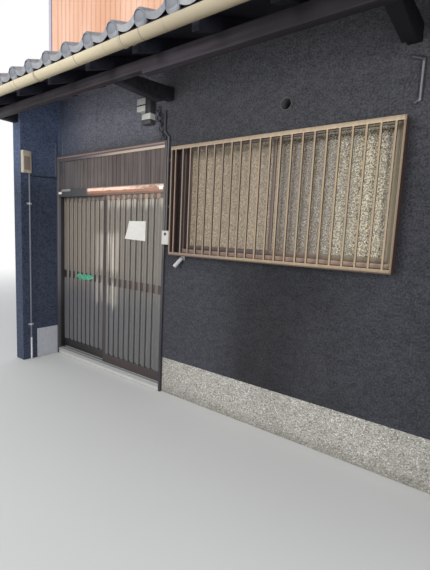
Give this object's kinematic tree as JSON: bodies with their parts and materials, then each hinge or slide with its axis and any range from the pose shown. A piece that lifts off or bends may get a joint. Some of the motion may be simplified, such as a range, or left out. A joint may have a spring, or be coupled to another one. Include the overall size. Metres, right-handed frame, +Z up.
{
  "type": "two-storey row townhouse",
  "caption": "Two-storey tiled row townhouse with a pent roof on bracket arms, a pebble plinth, a sliding lattice entrance and a grilled window, open inside.",
  "frame": {"origin": "on the ground, in the middle of the house", "axes": "+Z up, -Y towards the street, X along the street"},
  "size_m": [4.84, 7.564, 7.1085],
  "materials": {
    "pebble": "washed pebble render",
    "dark_mortar": "sprayed mortar, rough matte",
    "concrete": "trowelled",
    "floor_boards": "plain planed",
    "ribbed_siding": "ribbed sheet, satin",
    "bronze_aluminium": "anodised, worn",
    "dark_bronze": "anodised, dark",
    "worn_copper": "worn finish",
    "transom_board": "dark stained",
    "beige_aluminium": "anodised, satin",
    "figured_glass": "figured, frosted",
    "eave_timber": "dark stained, weathered",
    "soffit_board": "dark stained boards",
    "roof_tile": "smoked grey clay tile",
    "flashing": "folded sheet",
    "gutter_cream": "faded",
    "gutter_strap": "faded paint",
    "cream_plastic": "faded",
    "dark_conduit": "matte",
    "white_plastic": "faded",
    "zinc": "dull zinc"
  },
  "bodies": {
    "house": {"plinths": "pebble", "ground_floor": "concrete", "party_wall_left": "dark_mortar", "party_wall_right": "dark_mortar", "wing_walls": "dark_mortar", "front_wall": "dark_mortar", "front_wall_over_door": "dark_mortar", "rear_wall": "dark_mortar", "upper_floor": "floor_boards", "upper_front_wall": "ribbed_siding", "upper_rear_wall": "ribbed_siding", "door_posts": "dark_bronze", "door_step": "concrete", "door_sill": "zinc", "door_head": "worn_copper", "transom_head": "bronze_aluminium", "transom_panel": "transom_board", "window_frames": "bronze_aluminium", "window_sashes": "bronze_aluminium", "window_glass": "figured_glass", "window_grille": "beige_aluminium", "eave_beams": "eave_timber", "bracket_arms": "eave_timber", "rafters": "eave_timber", "pent_decks": "soffit_board", "pent_tiles": "roof_tile", "pent_flashings": "flashing", "gutters": "gutter_cream", "gutter_straps": "gutter_strap", "roof_deck_front": "soffit_board", "roof_deck_rear": "soffit_board", "roof_tiles_front": "roof_tile", "roof_tiles_rear": "roof_tile", "ridge_tiles": "roof_tile", "verge_tiles": "roof_tile", "meter_box": "cream_plastic", "conduits": "dark_conduit", "service_boxes": "white_plastic", "door_bell": "white_plastic", "vent_sleeve": "zinc", "pole_holder": "zinc"},
    "left_leaf": {"left_leaf_frame": "bronze_aluminium", "left_leaf_slats": "bronze_aluminium", "left_leaf_glass": "figured_glass"},
    "right_leaf": {"right_leaf_frame": "bronze_aluminium", "right_leaf_slats": "bronze_aluminium", "right_leaf_glass": "figured_glass"}
  },
  "joints": [
    {"name": "left_leaf_slide", "type": "slide", "parent": "house", "child": "left_leaf", "axis": [1, 0, 0], "range_m": [0, 0.76]},
    {"name": "right_leaf_slide", "type": "slide", "parent": "house", "child": "right_leaf", "axis": [1, 0, 0], "range_m": [-0.76, 0]}
  ]
}
